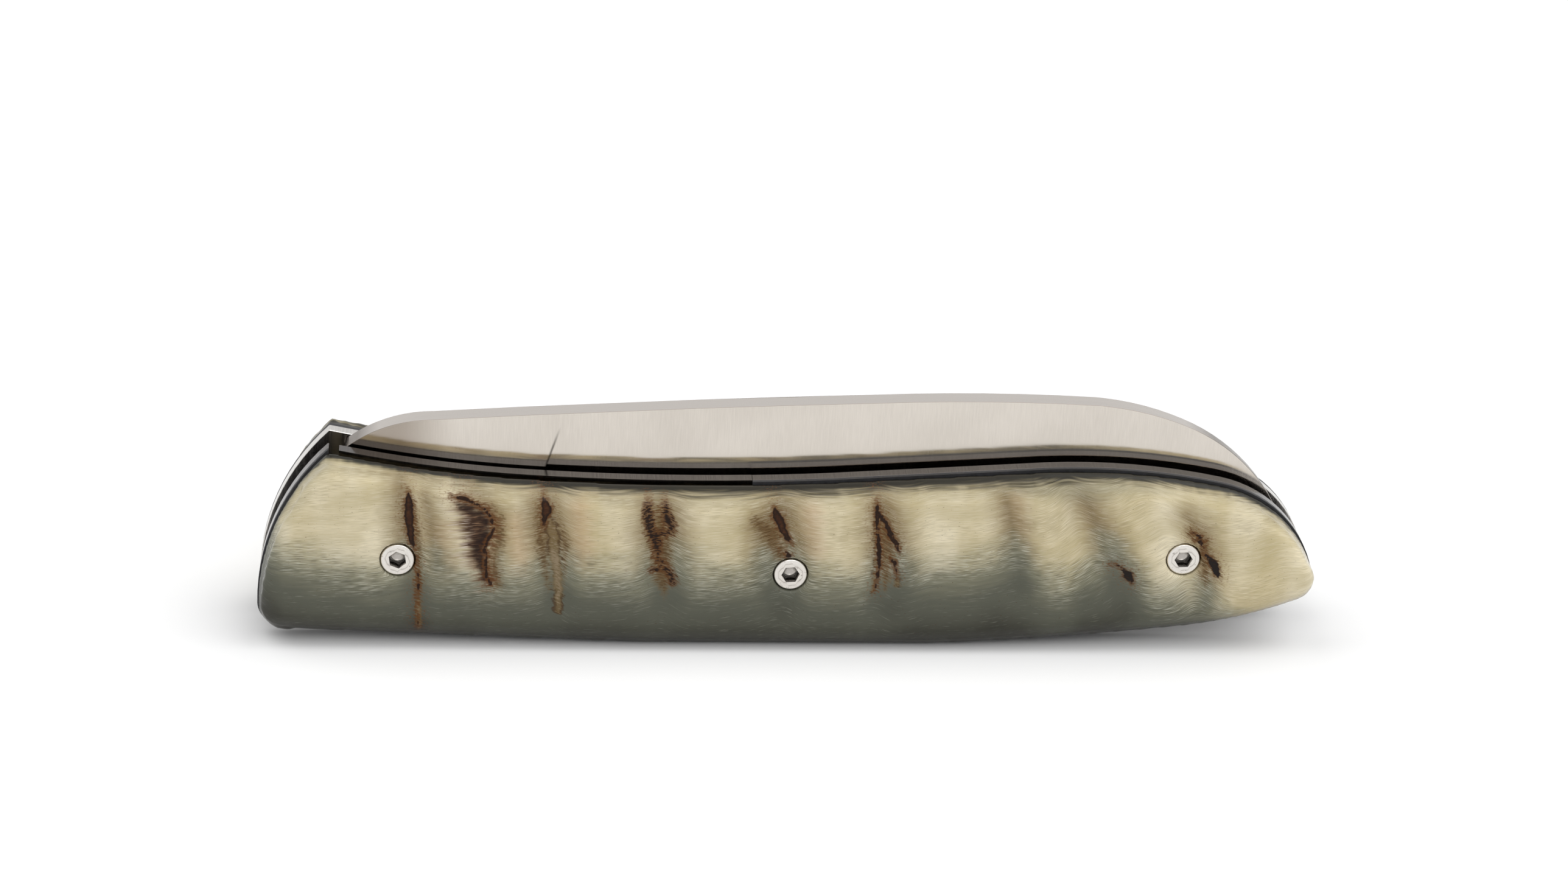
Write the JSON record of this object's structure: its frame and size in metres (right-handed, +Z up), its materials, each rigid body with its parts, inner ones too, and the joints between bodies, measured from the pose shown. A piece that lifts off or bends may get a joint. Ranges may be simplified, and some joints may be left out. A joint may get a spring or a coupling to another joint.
{
  "type": "folding pocket knife",
  "caption": "Folding pocket knife with polished horn scales, steel liners, a liner lock and a flat-ground drop-point blade that pivots out of the handle.",
  "frame": {"origin": "bottom centre of the closed knife's bounding box, on the surface that its back rests on", "axes": "+X along the handle from the pivot end to the rear end, +Y through the handle from the near scale to the far scale, +Z up from the back to the blade's spine"},
  "size_m": [0.1199, 0.0152, 0.0286],
  "materials": {
    "horn": "polished ram's horn, cream to grey-green",
    "fibre": "black vulcanised fibre, ground flush",
    "handle_steel": "satin stainless steel",
    "blade_steel": "stainless steel with a cross-brushed satin grind",
    "pin_steel": "turned stainless steel",
    "screw_steel": "turned stainless steel, lightly marked",
    "ball_steel": "polished hard steel",
    "bronze": "phosphor bronze"
  },
  "bodies": {
    "handle": {"near_scale": "horn", "far_scale": "horn", "near_fibre_sheet": "fibre", "far_fibre_sheet": "fibre", "lock_liner": "handle_steel", "plain_liner": "handle_steel", "pivot_barrel": "pin_steel", "near_washer": "bronze", "far_washer": "bronze", "stop_pin": "pin_steel", "middle_barrel": "pin_steel", "rear_barrel": "pin_steel", "near_pivot_screw": "screw_steel", "near_middle_screw": "screw_steel", "near_rear_screw": "screw_steel", "far_pivot_screw": "screw_steel", "far_middle_screw": "screw_steel", "far_rear_screw": "screw_steel"},
    "blade": {"blade": "blade_steel"},
    "lock_bar": {"lock_bar": "handle_steel", "detent_ball": "ball_steel"}
  },
  "joints": [
    {"name": "blade_pivot", "type": "hinge", "parent": "handle", "child": "blade", "pos_m": [-0.04445, 0, 0.01135], "axis": [0, -1, 0], "range_deg": [0, 175]},
    {"name": "lock_release", "type": "hinge", "parent": "handle", "child": "lock_bar", "pos_m": [-0.00498, -0.0025, 0.018], "axis": [0, 0, 1], "range_deg": [-0.45, 0.45], "stiffness_Nm_per_rad": 2}
  ]
}
